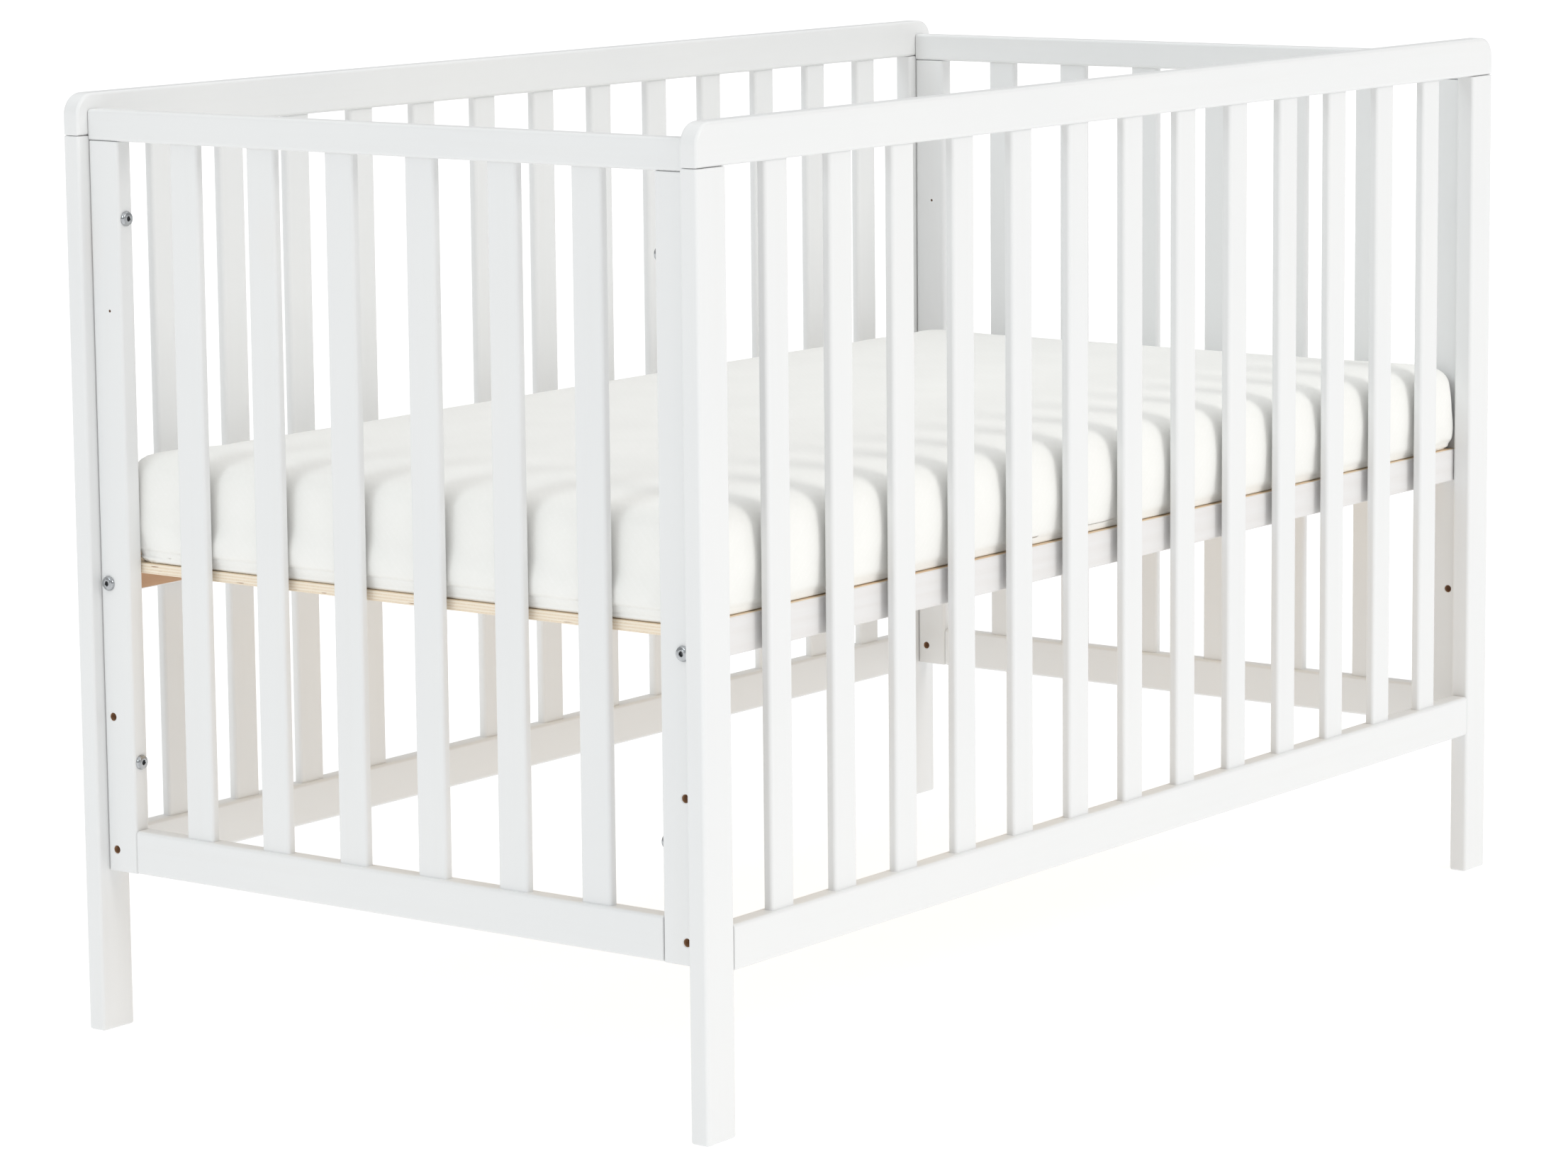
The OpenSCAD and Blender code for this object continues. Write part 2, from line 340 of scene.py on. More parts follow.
def paint(axis, tone=(1.0, 1.0, 1.0)):
    """White satin lacquer over wood. The grain of the wood just shows along the given axis."""
    n = Nodes("white_lacquer_" + axis.lower() + ("" if tone == (1.0, 1.0, 1.0) else "_b"))
    grain = n.noise(n.mapped(grain_scale(axis, 3.0, 95.0)), 1.0, 6, 0.62, 0.35)
    pores = n.noise(n.mapped(grain_scale(axis, 22.0, 620.0)), 1.0, 3, 0.6)
    cloud = n.noise(n.mapped((1, 1, 1), (3.1, 1.7, 0.4)), 5.5, 3, 0.5)
    peel = n.noise(n.mapped((1, 1, 1)), 520.0, 2, 0.5)
    base = n.ramp(cloud, [(0.30, (0.782 * tone[0], 0.789 * tone[1], 0.790 * tone[2])), (0.72, (0.800 * tone[0], 0.804 * tone[1], 0.800 * tone[2]))])
    streak = n.ramp(grain, [(0.30, (0.990, 0.987, 0.983)), (0.52, (1, 1, 1)), (0.80, (0.997, 0.996, 0.994))])
    col = n.mix(0.75, base, streak, "MULTIPLY")
    # a faint knot here and there, pinkish under the lacquer
    v = n.node("ShaderNodeTexVoronoi", feature="F1")
    v.inputs["Scale"].default_value = 1.0
    n.link(n.mapped(grain_scale(axis, 2.6, 6.5), (0.37, 0.11, 0.23)), v.inputs["Vector"])
    knot = n.level(v.outputs["Distance"], 0.035, 0.13, 1.0, 0.0)
    rare = n.level(n.noise(n.mapped((1, 1, 1), (9, 4, 2)), 2.3, 0), 0.52, 0.60)
    fac = n.math("MULTIPLY", n.math("MULTIPLY", knot, rare), 0.22)
    col = n.mix(fac, col, (0.80, 0.745, 0.70))
    h = n.math("ADD", n.math("MULTIPLY", grain, 0.7), n.math("MULTIPLY", pores, 0.3))
    nor = n.bump(h, 0.00010, 0.45)
    nor = n.bump(peel, 0.00002, 0.5, nor)
    rough = n.level(cloud, 0.3, 0.7, 0.33, 0.42)
    return n.set(color=col, rough=rough, spec=0.5, normal=nor)


def pine(axis="X"):
    n = Nodes("bare_pine_" + axis.lower())
    warp = n.noise(n.mapped(grain_scale(axis, 1.4, 9.0)), 1.0, 2, 0.5)
    vec = n.mapped(grain_scale(axis, 1.6, 60.0))
    rings = n.node("ShaderNodeTexWave", wave_type="BANDS", bands_direction="DIAGONAL")
    rings.inputs["Scale"].default_value = 0.9
    rings.inputs["Distortion"].default_value = 5.0
    rings.inputs["Detail"].default_value = 3.0
    rings.inputs["Detail Scale"].default_value = 1.2
    n.link(vec, rings.inputs["Vector"])
    fibre = n.noise(n.mapped(grain_scale(axis, 14.0, 520.0)), 1.0, 4, 0.6)
    col = n.ramp(rings.outputs["Fac"], [(0.0, (0.80, 0.60, 0.40)), (0.55, (0.87, 0.70, 0.50)), (1.0, (0.91, 0.77, 0.58))])
    col = n.mix(0.35, col, n.ramp(fibre, [(0.3, (0.74, 0.70, 0.66)), (0.65, (1, 1, 1))]), "MULTIPLY")
    col = n.mix(n.level(warp, 0.35, 0.7, 0.0, 0.25), col, (0.70, 0.45, 0.25))
    return n.set(color=col, rough=n.level(fibre, 0.3, 0.7, 0.5, 0.66), normal=n.bump(fibre, 0.0002, 0.6))


def pine_with_painted_shade():
    """Bare pine for the base rails' unlit inner faces, painted darker and redder than the sanded top: painted shade."""
    n = Nodes("bare_pine_painted_shade")
    fibre = n.noise(n.mapped(grain_scale("X", 12.0, 460.0)), 1.0, 4, 0.6)
    band = n.noise(n.mapped(grain_scale("X", 1.2, 40.0)), 1.0, 3, 0.55)
    col = n.ramp(band, [(0.3, (0.50, 0.30, 0.185)), (0.7, (0.62, 0.42, 0.28))])
    col = n.mix(0.35, col, n.ramp(fibre, [(0.3, (0.78, 0.72, 0.68)), (0.65, (1, 1, 1))]), "MULTIPLY")
    return n.set(color=col, rough=n.level(fibre, 0.3, 0.7, 0.52, 0.68), normal=n.bump(fibre, 0.0002, 0.6))


def whitewash():
    """Thin pinkish-white stain with the pine's grain showing through."""
    n = Nodes("whitewashed_pine")
    vec = n.mapped(grain_scale("X", 1.4, 46.0))
    rings = n.node("ShaderNodeTexWave", wave_type="BANDS", bands_direction="DIAGONAL")
    rings.inputs["Scale"].default_value = 1.0
    rings.inputs["Distortion"].default_value = 6.0
    rings.inputs["Detail"].default_value = 3.0
    n.link(vec, rings.inputs["Vector"])
    fibre = n.noise(n.mapped(grain_scale("X", 10.0, 420.0)), 1.0, 5, 0.62)
    patch = n.noise(n.mapped((2.2, 8, 8)), 1.0, 3, 0.5)
    col = n.ramp(rings.outputs["Fac"], [(0.0, (0.772, 0.758, 0.748)), (0.5, (0.780, 0.768, 0.760)), (1.0, (0.785, 0.776, 0.770))])
    col = n.mix(0.4, col, n.ramp(fibre, [(0.32, (0.965, 0.955, 0.948)), (0.62, (1, 1, 1))]), "MULTIPLY")
    col = n.mix(n.level(patch, 0.45, 0.75, 0.0, 0.2), col, (0.79, 0.762, 0.745))
    return n.set(color=col, rough=n.level(fibre, 0.3, 0.7, 0.42, 0.55), normal=n.bump(fibre, 0.00018, 0.6))


def ply_face():
    n = Nodes("plywood_face")
    vec = n.mapped(grain_scale("Y", 2.0, 30.0))
    rings = n.node("ShaderNodeTexWave", wave_type="BANDS", bands_direction="X")
    rings.inputs["Scale"].default_value = 0.8
    rings.inputs["Distortion"].default_value = 7.0
    rings.inputs["Detail"].default_value = 2.5
    rings.inputs["Detail Scale"].default_value = 0.7
    n.link(vec, rings.inputs["Vector"])
    fibre = n.noise(n.mapped(grain_scale("Y", 12.0, 480.0)), 1.0, 5, 0.6)
    board = n.noise(n.mapped((7.9, 0.02, 0.02)), 1.0, 0)
    col = n.ramp(rings.outputs["Fac"], [(0.0, (0.76, 0.58, 0.38)), (0.5, (0.83, 0.67, 0.47)), (1.0, (0.87, 0.73, 0.54))])
    col = n.mix(0.4, col, n.ramp(fibre, [(0.3, (0.84, 0.80, 0.76)), (0.62, (1, 1, 1))]), "MULTIPLY")
    col = n.mix(n.level(board, 0.35, 0.65, 0.0, 0.30), col, (0.86, 0.72, 0.53))
    v = n.node("ShaderNodeTexVoronoi", feature="F1")
    v.inputs["Scale"].default_value = 1.0
    n.link(n.mapped((14, 5, 1), (0.2, 0.6, 0.1)), v.inputs["Vector"])
    knot = n.level(v.outputs["Distance"], 0.03, 0.085, 1.0, 0.0)
    rare = n.level(n.noise(n.mapped((1, 1, 1), (2, 7, 2)), 5.0, 0), 0.55, 0.62)
    col = n.mix(n.math("MULTIPLY", knot, rare), col, (0.40, 0.22, 0.11))
    return n.set(color=col, rough=n.level(fibre, 0.3, 0.7, 0.55, 0.72), normal=n.bump(fibre, 0.0002, 0.7))


def ply_edge():
    """Sanded plywood edge: plies by height, alternately long and end grain, with a few dark voids."""
    n = Nodes("plywood_edge")
    sep = n.node("ShaderNodeSeparateXYZ")
    wob = n.noise(n.mapped((9, 9, 9)), 1.0, 2, 0.5)
    n.link(n.coord.outputs["Object"], sep.inputs[0])
    z = n.math("ADD", sep.outputs["Z"], n.math("MULTIPLY", n.math("SUBTRACT", wob, 0.5), 0.00035))
    t = n.math("DIVIDE", n.math("SUBTRACT", z, LEDGE_Z * MM), 0.00257)
    saw = n.math("FRACT", t)
    end_ply = n.level(n.math("ABSOLUTE", n.math("SUBTRACT", saw, 0.5)), 0.22, 0.28, 1.0, 0.0)
    fibre = n.noise(n.mapped((60, 60, 1200)), 1.0, 4, 0.6)
    pits = n.noise(n.mapped((900, 900, 900)), 1.0, 2, 0.6)
    light = n.ramp(fibre, [(0.3, (0.87, 0.765, 0.62)), (0.7, (0.92, 0.835, 0.71))])
    dark = n.ramp(pits, [(0.3, (0.76, 0.61, 0.44)), (0.7, (0.86, 0.745, 0.585))])
    col = n.mix(n.math("MULTIPLY", end_ply, 0.8), light, dark)
    voids = n.noise(n.mapped((42, 42, 420), (0.3, 0.12, 0)), 1.0, 1, 0.4)
    vfac = n.math("MULTIPLY", n.level(voids, 0.70, 0.725), end_ply)
    col = n.mix(vfac, col, (0.30, 0.15, 0.08))
    h = n.math("SUBTRACT", n.math("MULTIPLY", pits, 0.4), n.math("ADD", n.math("MULTIPLY", end_ply, 0.4), vfac))
    return n.set(color=col, rough=0.72, normal=n.bump(h, 0.00025, 0.7))


# Bare wood for the walls of holes, much darker than the bare pine: painted shade inside the holes over the wood's own
# brown.
def hole_wood_painted_shade():
    n = Nodes("bare_wood_painted_hole_shade")
    f = n.noise(n.mapped((300, 300, 300)), 1.0, 3, 0.6)
    return n.set(color=n.ramp(f, [(0.3, (0.34, 0.19, 0.10)), (0.7, (0.50, 0.31, 0.18))]), rough=0.8, normal=n.bump(f, 0.0003, 0.7))


def beech():
    n = Nodes("beech_dowel")
    f = n.noise(n.mapped((200, 200, 200)), 1.0, 4, 0.6)
    return n.set(color=n.ramp(f, [(0.3, (0.62, 0.43, 0.26)), (0.7, (0.76, 0.58, 0.39))]), rough=0.6, normal=n.bump(f, 0.0002, 0.5))


def steel(name="zinc_plated_steel", rough=(0.14, 0.26), tone=1.0):
    n = Nodes(name)
    f = n.noise(n.mapped((1, 1, 1)), 900.0, 3, 0.55)
    big = n.noise(n.mapped((1, 1, 1)), 160.0, 2, 0.5)
    col = n.ramp(big, [(at, tuple(c * tone for c in rgb)) for at, rgb in ((0.3, (0.36, 0.375, 0.39)), (0.7, (0.50, 0.515, 0.53)))])
    return n.set(color=col, metal=1.0, rough=n.level(f, 0.3, 0.7, *rough), normal=n.bump(f, 0.00002, 0.5))


def knit():
    """Fine ivory knit with a raised dot on a diagonal grid. It uses the piece's own surface map, in metres. Its colour
    is darker where the relief is low: painted shade in the knit's hollows, over a random mottle.
    """
    n = Nodes("ivory_knit")
    uv = n.node("ShaderNodeUVMap", uv_map="knit")
    sep = n.node("ShaderNodeSeparateXYZ")
    n.link(uv.outputs["UV"], sep.inputs[0])
    wob = n.noise(n.mapped((1, 1, 1)), 60.0, 2, 0.5)
    du = n.math("ADD", sep.outputs["X"], n.math("MULTIPLY", wob, 0.0012))
    dv = n.math("ADD", sep.outputs["Y"], n.math("MULTIPLY", wob, 0.0012))

    def wave(v, pitch, phase=0.0):
        return n.math("SINE", n.math("ADD", n.math("MULTIPLY", v, 2 * math.pi / pitch), phase))

    dots = n.level(n.math("MULTIPLY", wave(du, 0.0074), wave(dv, 0.0074)), 0.35, 0.95)
    dots2 = n.level(n.math("MULTIPLY", wave(du, 0.0074, math.pi / 2), wave(dv, 0.0074, math.pi / 2)), 0.35, 0.95)
    cell = n.math("ADD", dots, dots2)
    rib = n.math("MULTIPLY", wave(du, 0.0013), wave(dv, 0.0010))
    fuzz = n.noise(n.mapped((1, 1, 1)), 1400.0, 3, 0.6)
    soft = n.noise(n.mapped((1, 1, 1), (5, 2, 1)), 14.0, 3, 0.5)
    mott = n.noise(n.mapped((1, 1, 1), (2, 2, 2)), 260.0, 3, 0.6)
    h = n.math("ADD", n.math("MULTIPLY", cell, n.level(mott, 0.35, 0.62, 0.05, 0.42)), n.math("ADD", n.math("MULTIPLY", rib, 0.14), n.math("ADD", n.math("MULTIPLY", fuzz, 0.30), n.math("MULTIPLY", mott, 0.45))))
    base = n.ramp(soft, [(0.3, (0.888, 0.884, 0.858)), (0.7, (0.908, 0.904, 0.878))])
    # colour follows the relief's height, the low parts darker: painted shade in the knit's hollows, and partly random
    # mottle
    painted_hollow_shade = n.ramp(h, [(0.15, (0.970, 0.970, 0.962)), (0.85, (1.0, 1.0, 1.0))])
    col = n.mix(0.8, base, painted_hollow_shade, "MULTIPLY")
    nor = n.bump(h, 0.00030, 0.5)
    return n.set(color=col, rough=0.95, spec=0.25, sheen=0.25, sheen_rough=0.5, normal=nor)


PX, PY, PZ = paint("X"), paint("Y"), paint("Z")
PINE, PINE_PAINTED_SHADE, WASH, FACE, EDGE = pine("X"), pine_with_painted_shade(), whitewash(), ply_face(), ply_edge()
HOLE_WOOD_PAINTED_SHADE, BEECH, STEEL, KNIT = hole_wood_painted_shade(), beech(), steel(), knit()
# the same steel at 0.4 of its tone, for the faces inside the bolts' sockets: painted shade in the recess
SOCKET_STEEL_PAINTED_SHADE = steel("zinc_steel_painted_socket_shade", (0.3, 0.4), 0.4)


def settle(ob, body, slot, *nodes):
    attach(ob, body)
    if nodes:
        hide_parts(*nodes)
    return ob


# ------------------------------------------------------------------ long sides
for s, side in ((-1, "front"), (1, "back")):
    y0, y1 = sorted((s * HY, s * IN_Y))
    cy = s * LONG_Y

    bm = bmesh.new()
    prism(bm, [(-HX, LEG_TOP + 0.15, 1.6), (HX, LEG_TOP + 0.15, 1.6), (HX, H, 19.0), (-HX, H, 19.0)], "Y", y0, y1, 3.0, segs=[3, 3, 14, 14], steps=6)
    ob = to_object(bm, side + "_top_rail_lacquered", [PX])
    smooth(ob)
    settle(ob, "frame", "white_wood", side + "_top_rail")

    bm = bmesh.new()
    prism(bm, rect(cy, (LB0 + LB1) / 2, PT, LB1 - LB0, 3.0), "X", -OPEN_X + 0.12, OPEN_X - 0.12, 0.9, segs=6)
    ob = to_object(bm, side + "_bottom_rail_lacquered", [PX])
    smooth(ob)
    settle(ob, "frame", "white_wood", side + "_bottom_rail")

    for e, end in ((-1, "left"), (1, "right")):
        bm = bmesh.new()
        prism(bm, rect(e * (HX - LEG_W / 2), cy, LEG_W, PT, 3.0), "Z", 0.0, LEG_TOP - 0.15, 2.2, segs=6, steps=4, ease_b=1.0)
        ob = to_object(bm, f"{side}_{end}_leg_lacquered", [PZ])
        smooth(ob)
        settle(ob, "frame", "white_wood", f"{side}_{end}_leg")

    bm = bmesh.new()
    for i in range(13):
        prism(bm, rect((i - 6) * LONG_PITCH, cy, 31.0, 9.0, 3.0), "Z", LB1 - 11.8, LEG_TOP + 11.8, 0.5, segs=7, steps=2)
    ob = to_object(bm, side + "_slats_lacquered", [PZ])
    smooth(ob)
    settle(ob, "frame", "white_wood", side + "_slats")

# ------------------------------------------------------------------ end panels
for e, end in ((-1, "left"), (1, "right")):
    cx = e * END_X

    bm = bmesh.new()
    prism(bm, rect(cx, END_TOP - END_TOP_H / 2, END_T, END_TOP_H, 3.0), "Y", -IN_Y + 0.25, IN_Y - 0.25, 1.0, segs=6)
    ob = to_object(bm, end + "_top_rail_lacquered", [PY])
    smooth(ob)
    settle(ob, "frame", "white_wood", end + "_top_rail")

    bm = bmesh.new()
    prism(bm, rect(cx, (EB0 + EB1) / 2, END_T, EB1 - EB0, 3.0), "Y", -OPEN_Y + 0.12, OPEN_Y - 0.12, 0.9, segs=6)
    ob = to_object(bm, end + "_bottom_rail_lacquered", [PY])
    smooth(ob)
    settle(ob, "frame", "white_wood", end + "_bottom_rail")

    bm = bmesh.new()
    for i in range(6):
        prism(bm, rect(cx, (i - 2.5) * END_PITCH, 9.0, 31.0, 3.0), "Z", EB1 - 11.8, STILE_TOP + 11.8, 0.5, segs=7, steps=2)
    ob = to_object(bm, end + "_slats_lacquered", [PZ])
    smooth(ob)
    settle(ob, "frame", "white_wood", end + "_slats")

    for s, side in ((-1, "front"), (1, "back")):
        bm = bmesh.new()
        prism(bm, rect(cx, s * STILE_Y, END_T, STILE_W - 0.25, 3.0), "Z", EB0, STILE_TOP - 0.15, 1.0, segs=6)
        ob = to_object(bm, f"{end}_{side}_stile_lacquered", [PZ, HOLE_WOOD_PAINTED_SHADE])
        cutters = []
        for z in LEVELS:
            # through hole with a small countersink at both mouths
            cutters.append(turned_cutter([(0, -1), (4.5, -1), (4.2, 0), (3.5, 0.7), (3.5, END_T - 0.7), (4.2, END_T), (4.5, END_T + 1), (0, END_T + 1)],
                                         along("X", e, (e * END_IN, s * BASE_Y, z)), 40))
        for z in BOLT_Z:
            cutters.append(turned_cutter([(0, -1), (3.5, -1), (3.5, STILE_W + 1), (0, STILE_W + 1)], along("Y", s, (e * END_X, s * OPEN_Y, z)), 32))
        if s > 0:
            cutters.append(turned_cutter([(0, -1), (1.5, -1), (1.2, 0.3), (1.2, END_T - 0.3), (1.5, END_T + 1), (0, END_T + 1)], along("X", e, (e * END_IN, 302.0, 631.0)), 20))
        cut(ob, cutters)
        # the walls of the holes are bare wood, coloured much darker than the bare pine: partly the wood's own brown,
        # partly painted shade inside the holes
        for p in ob.data.polygons:
            c = p.center / MM
            n = p.normal
            wall = abs(n.x) < 0.2 and any(math.hypot(c.y - s * BASE_Y, c.z - z) < 3.7 for z in LEVELS)
            wall = wall or (abs(n.y) < 0.2 and any(math.hypot(c.x - e * END_X, c.z - z) < 3.7 for z in BOLT_Z))
            wall = wall or (abs(n.x) < 0.2 and s > 0 and math.hypot(c.y - 302.0, c.z - 631.0) < 1.6)
            p.material_index = 1 if wall else 0
        smooth(ob)
        settle(ob, "frame", "white_wood", f"{end}_{side}_stile")


# ------------------------------------------------------------------ bolts
def dome_bolt(length):
    bm = bmesh.new()
    head = [(0, -3.35), (3.3, -3.35), (3.7, -3.24), (4.1, -3.0)]
    head += [(4.1 + 2.15 * math.sin(t), -1.0 - 2.05 * math.cos(t)) for t in [math.radians(a) for a in (20, 36, 52, 70, 88)]]
    head += [(6.5, -0.75), (6.5, -0.25), (6.3, 0.0), (3.0, 0.0), (3.0, length - 0.6), (2.4, length), (0, length)]
    lathe(bm, head, 48)
    ob = to_object(bm, "bolt", [STEEL, SOCKET_STEEL_PAINTED_SHADE])
    cutters = []
    # hexagonal socket with a chamfered mouth
    bm = bmesh.new()
    prism(bm, [(2.3 * math.cos(math.pi / 3 * k), 2.3 * math.sin(math.pi / 3 * k), 0.1) for k in range(6)], "Z", -6.0, -1.1, 0.05, segs=1, steps=1)
    cutters.append(to_object(bm, "cutter", []))
    cutters.append(turned_cutter([(0, -6), (4.4, -6), (2.6, -3.6), (2.0, -2.85), (0, -2.85)], Matrix.Identity(4), 48))
    cut(ob, cutters)
    # the faces inside the hex socket take the darker steel: painted shade
    for p in ob.data.polygons:
        c = p.center / MM
        p.material_index = 1 if (math.hypot(c.x, c.y) < 2.2 and -3.2 < c.z < -0.9) else 0
    return ob


places = [along("Y", s, (e * END_X, s * OPEN_Y, z)) for s in (-1, 1) for e in (-1, 1) for z in BOLT_Z]
turns = (0.3, 1.9, 0.9, 2.6, 1.2, 0.1, 2.2, 1.6)
places = [m @ Matrix.Rotation(t, 4, "Z") for m, t in zip(places, turns)]
ob = copies(dome_bolt(STILE_W + 11.5), "corner_bolts_plated", places, [STEEL, SOCKET_STEEL_PAINTED_SHADE])
smooth(ob, 32)
settle(ob, "frame", "bolt_steel", "corner_bolts")

places = [along("X", -e, (e * END_OUT, s * BASE_Y, LEVELS[2])) for s in (-1, 1) for e in (-1, 1)]
places = [m @ Matrix.Rotation(t, 4, "Z") for m, t in zip(places, (0.5, 1.4, 2.3, 0.8))]
ob = copies(dome_bolt(END_OUT - BARREL_X + 7), "base_bolts_plated", places, [STEEL, SOCKET_STEEL_PAINTED_SHADE])
smooth(ob, 32)
settle(ob, "frame", "bolt_steel", "base_bolts")

# cross nuts, let in from the rail's underside, with a screwdriver slot in the face
bm = bmesh.new()
lathe(bm, [(0, 0), (4.6, 0), (5.0, 0.4), (5.0, 13.6), (4.6, 14.0), (0, 14.0)], 40)
nut = to_object(bm, "nut", [STEEL])
bm = bmesh.new()
prism(bm, rect(0, 0, 12, 1.3, 0.1), "Z", -1, 1.6, 0.05, segs=1, steps=1)
slot_cutter = to_object(bm, "cutter", [])
bore = turned_cutter([(0, -8), (3.05, -8), (3.05, 8), (0, 8)], along("X", 1, (0, 0, LEVELS[2] - BASE_Z - 0.5)), 32)
cut(nut, [slot_cutter, bore])
nuts = [Matrix.Translation(Vector((e * BARREL_X, s * BASE_Y, BASE_Z + 0.5)) * MM) for s in (-1, 1) for e in (-1, 1)]
ob = copies(nut, "base_cross_nuts_plated", nuts, [STEEL])
smooth(ob, 32)
settle(ob, "frame", "bolt_steel", "base_barrel_nuts")

# countersunk screws with a cross recess
bm = bmesh.new()
lathe(bm, [(0, 0), (2.9, 0), (3.0, -0.12), (1.75, -1.6), (1.6, -3.0), (1.6, -16.5), (0, -19)], 32)
screw = to_object(bm, "screw", [STEEL, SOCKET_STEEL_PAINTED_SHADE])
cutters = []
for a in (0, 90):
    bm = bmesh.new()
    prism(bm, rect(0, 0, 3.3, 0.75, 0.1), "Z", -1.5, 1.0, 0.05, segs=1, steps=1)
    bmesh.ops.transform(bm, matrix=Matrix.Rotation(math.radians(a), 4, "Z"), verts=bm.verts)
    cutters.append(to_object(bm, "cutter", []))
cut(screw, cutters)
spots = [(x, s * SCREW_Y) for x in BOARD_XS for s in (-1, 1)]
ob = copies(screw, "board_screws_plated", [Matrix.Translation(Vector((x, y, BOARD_TOP - 0.3)) * MM) @ Matrix.Rotation((i * 2.399) % math.pi, 4, "Z") for i, (x, y) in enumerate(spots)], [STEEL, SOCKET_STEEL_PAINTED_SHADE])
smooth(ob, 32)
settle(ob, "frame", "bolt_steel", "base_board_screws")

# ------------------------------------------------------------------ bed base
for s, side in ((-1, "front"), (1, "back")):
    def yy(d):
        return s * (BASE_Y + d)
    prof = [(yy(-9), BASE_Z, 1.6), (yy(9), BASE_Z, 1.6), (yy(9), RAIL_Z, 1.6), (yy(0), RAIL_Z, 1.0), (yy(0), LEDGE_Z, 0.2), (yy(-9), LEDGE_Z, 0.5)]
    if s < 0:
        prof = prof[::-1]
    bm = bmesh.new()
    prism(bm, prof, "X", -BASE_L / 2, BASE_L / 2, 0.8, segs=4, steps=3)
    ob = to_object(bm, f"base_{side}_rail_stained", [WASH, PINE, HOLE_WOOD_PAINTED_SHADE, PINE_PAINTED_SHADE])
    cutters = []
    for e in (-1, 1):
        cutters.append(turned_cutter([(0, 0), (3.5, 0), (3.5, 60), (0, 60)], along("X", e, (e * (BARREL_X - 9), s * BASE_Y, LEVELS[2])), 32))
        cutters.append(turned_cutter([(0, -1), (5.1, -1), (5.05, 0.3), (5.05, 14.6), (0, 14.6)], Matrix.Translation(Vector((e * BARREL_X, s * BASE_Y, BASE_Z)) * MM), 40))
    for x in BOARD_XS:
        cutters.append(turned_cutter([(0, -1), (1.7, -1), (1.7, 11.2), (0, 11.2)], along("Z", -1, (x, s * SCREW_Y, LEDGE_Z)), 16))
    cut(ob, cutters)
    for p in ob.data.polygons:
        c, n = p.center / MM, p.normal
        out = n.y * s
        if out > 0.35 and abs(c.y - s * BASE_Y) > 6 or (n.z < -0.5 and c.z < BASE_Z + 2):
            k = 0
        # the walls of the cross nuts' holes take the dark hole wood: painted shade
        elif math.hypot(c.y - s * BASE_Y, min(abs(c.x - BARREL_X), abs(c.x + BARREL_X))) < 5.2 and BASE_Z - 0.1 < c.z < BASE_Z + 14.7 and abs(n.z) < 0.5:
            k = 2
        # inner faces below the ledge take the darker pine: painted shade
        elif out < -0.6 and c.z < LEDGE_Z:
            k = 3
        else:
            k = 1
        p.material_index = k
    smooth(ob)
    settle(ob, "frame", "base_rail_wood", f"base_{side}_rail")

bm = bmesh.new()
for x in BOARD_XS:
    prism(bm, rect(x, 0.0, 75.0, 2 * BOARD_Y, 2.0), "Z", LEDGE_Z, BOARD_TOP, 0.7, segs=4, steps=2)
ob = to_object(bm, "base_boards_plywood", [FACE, EDGE, HOLE_WOOD_PAINTED_SHADE])
cut(ob, [turned_cutter([(0, -1), (1.8, -1), (1.8, 7.0), (3.3, 8.9), (3.8, 10), (0, 10)], along("Z", 1, (x, s * SCREW_Y, LEDGE_Z)), 24) for x in BOARD_XS for s in (-1, 1)])
for p in ob.data.polygons:
    p.material_index = 0 if abs(p.normal.z) > 0.8 else 1
smooth(ob)
settle(ob, "frame", "plywood", "base_boards")

# CAD nodes that stay as they are get their finish here
for name, m in (("long_side_dowels", BEECH), ("end_panel_dowels", BEECH), ("corner_insert_nuts", STEEL)):
    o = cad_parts[name]
    o.data.materials.clear()
    o.data.materials.append(m)


# ------------------------------------------------------------------ mattress
R_PLAN, R_TOP, R_LOW = 14.0, 15.0, 2.0      # radii of the mattress's upright, top and bottom edges
M_X, M_Y, M_LO, M_HI = MAT_X - 0.5, MAT_Y - 1.0, MAT_Z + 0.1, MAT_Z + MAT_H - 0.8


def step(v, a, b):
    t = np.clip((v - a) / (b - a), 0, 1)
    return t * t * (3 - 2 * t)


def snapped(c):
    """Moves points (mm) onto the rounded slab's surface, so its edges are crisp after a remesh."""
    c = c.copy()
    for _ in range(3):
        top = c[:, 2] > (M_LO + M_HI) / 2
        rr = np.where(top, R_TOP, R_LOW)
        # distance in plan to the outline with round corners
        qx, qy = np.abs(c[:, 0]) - (M_X - R_PLAN), np.abs(c[:, 1] - MAT_C) - (M_Y - R_PLAN)
        ox, oy = np.maximum(qx, 0), np.maximum(qy, 0)
        ol = np.hypot(ox, oy)
        dxy = ol + np.minimum(np.maximum(qx, qy), 0) - R_PLAN
        corner = ol > 1e-6
        gx = np.where(corner, ox / np.maximum(ol, 1e-9), qx > qy) * np.sign(c[:, 0])
        gy = np.where(corner, oy / np.maximum(ol, 1e-9), qx <= qy) * np.sign(c[:, 1] - MAT_C)
        dz = np.where(top, c[:, 2] - M_HI, M_LO - c[:, 2])
        a, b = dxy + rr, dz + rr
        both = (a > 0) & (b > 0)
        r = np.hypot(a, b)
        side = ~both & (a > b)
        move_xy = np.where(both, (r - rr) * a / np.maximum(r, 1e-9), np.where(side, dxy, 0))
        move_z = np.where(both, (r - rr) * b / np.maximum(r, 1e-9), np.where(side, 0, dz))
        c[:, 0] -= gx * move_xy
        c[:, 1] -= gy * move_xy
        c[:, 2] -= move_z * np.where(top, 1, -1)
    return c


